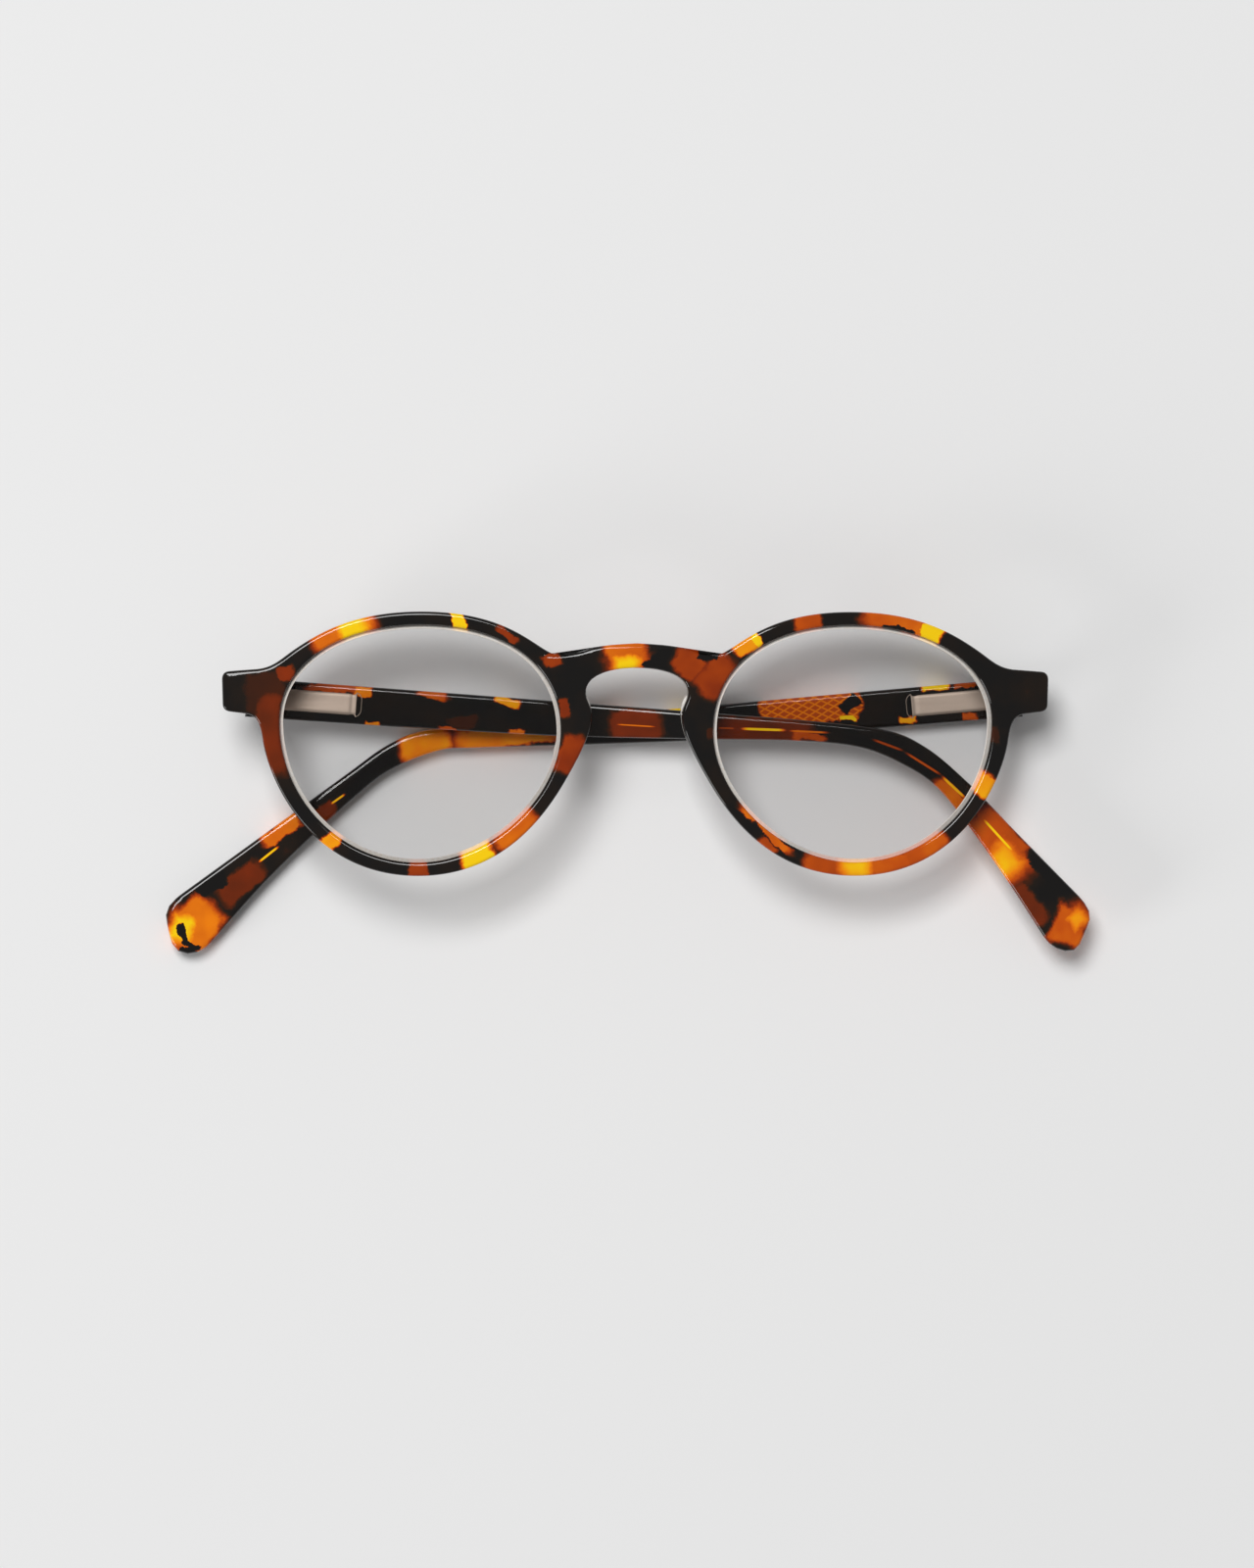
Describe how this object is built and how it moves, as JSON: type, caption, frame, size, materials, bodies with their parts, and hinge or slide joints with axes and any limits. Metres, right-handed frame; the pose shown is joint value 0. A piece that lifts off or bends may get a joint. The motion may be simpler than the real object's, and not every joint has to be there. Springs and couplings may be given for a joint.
{
  "type": "reading glasses with folding temples",
  "caption": "Tortoiseshell acetate reading glasses with round lenses, a keyhole bridge and sprung temples, lying folded with the front facing up.",
  "frame": {"origin": "centre of the bounding box in X and Y, on the surface that the folded glasses lie on", "axes": "+X to the wearer's left along the front, +Y up the lenses towards the bridge's top, +Z out of the front, up from the surface"},
  "size_m": [0.1446, 0.0532, 0.0193],
  "materials": {
    "tortoise_acetate": "polished",
    "lens": "polished",
    "pad_acetate": "polished",
    "satin_champagne": "satin",
    "hinge_steel": "satin",
    "gilt_core": "satin"
  },
  "bodies": {
    "front": {"front_frame": "tortoise_acetate", "right_lens": "lens", "left_lens": "lens", "right_nose_pad": "pad_acetate", "left_nose_pad": "pad_acetate", "right_front_hinge_plate": "hinge_steel", "left_front_hinge_plate": "hinge_steel", "right_hinge_screw": "hinge_steel", "left_hinge_screw": "hinge_steel"},
    "right_hinge_slider": {"right_hinge_carriage": "hinge_steel", "right_hinge_spring": "hinge_steel", "right_spring_stop_nut": "hinge_steel"},
    "right_temple_arm": {"right_temple": "tortoise_acetate", "right_spring_housing": "satin_champagne", "right_core_wire": "gilt_core"},
    "left_hinge_slider": {"left_hinge_carriage": "hinge_steel", "left_hinge_spring": "hinge_steel", "left_spring_stop_nut": "hinge_steel"},
    "left_temple_arm": {"left_temple": "tortoise_acetate", "left_spring_housing": "satin_champagne", "left_core_wire": "gilt_core"}
  },
  "joints": [
    {"name": "right_temple_fold", "type": "hinge", "parent": "front", "child": "right_hinge_slider", "pos_m": [-0.05659, 0.01346, 0.01042], "axis": [0.0757, 0.9971, -0.006], "range_deg": [0, 92.1]},
    {"name": "right_spring_travel", "type": "slide", "parent": "right_hinge_slider", "child": "right_temple_arm", "axis": [0.9971, -0.0757, 0.0005], "range_m": [0, 0.0014], "stiffness_N_per_m": 2500, "deforming": ["right_hinge_spring"]},
    {"name": "left_temple_fold", "type": "hinge", "parent": "front", "child": "left_hinge_slider", "pos_m": [0.05894, 0.01345, 0.0062], "axis": [0.0889, -0.996, 0], "range_deg": [0, 87.9]},
    {"name": "left_spring_travel", "type": "slide", "parent": "left_hinge_slider", "child": "left_temple_arm", "axis": [-0.996, -0.0889, 0], "range_m": [0, 0.0014], "stiffness_N_per_m": 2500, "deforming": ["left_hinge_spring"]}
  ]
}
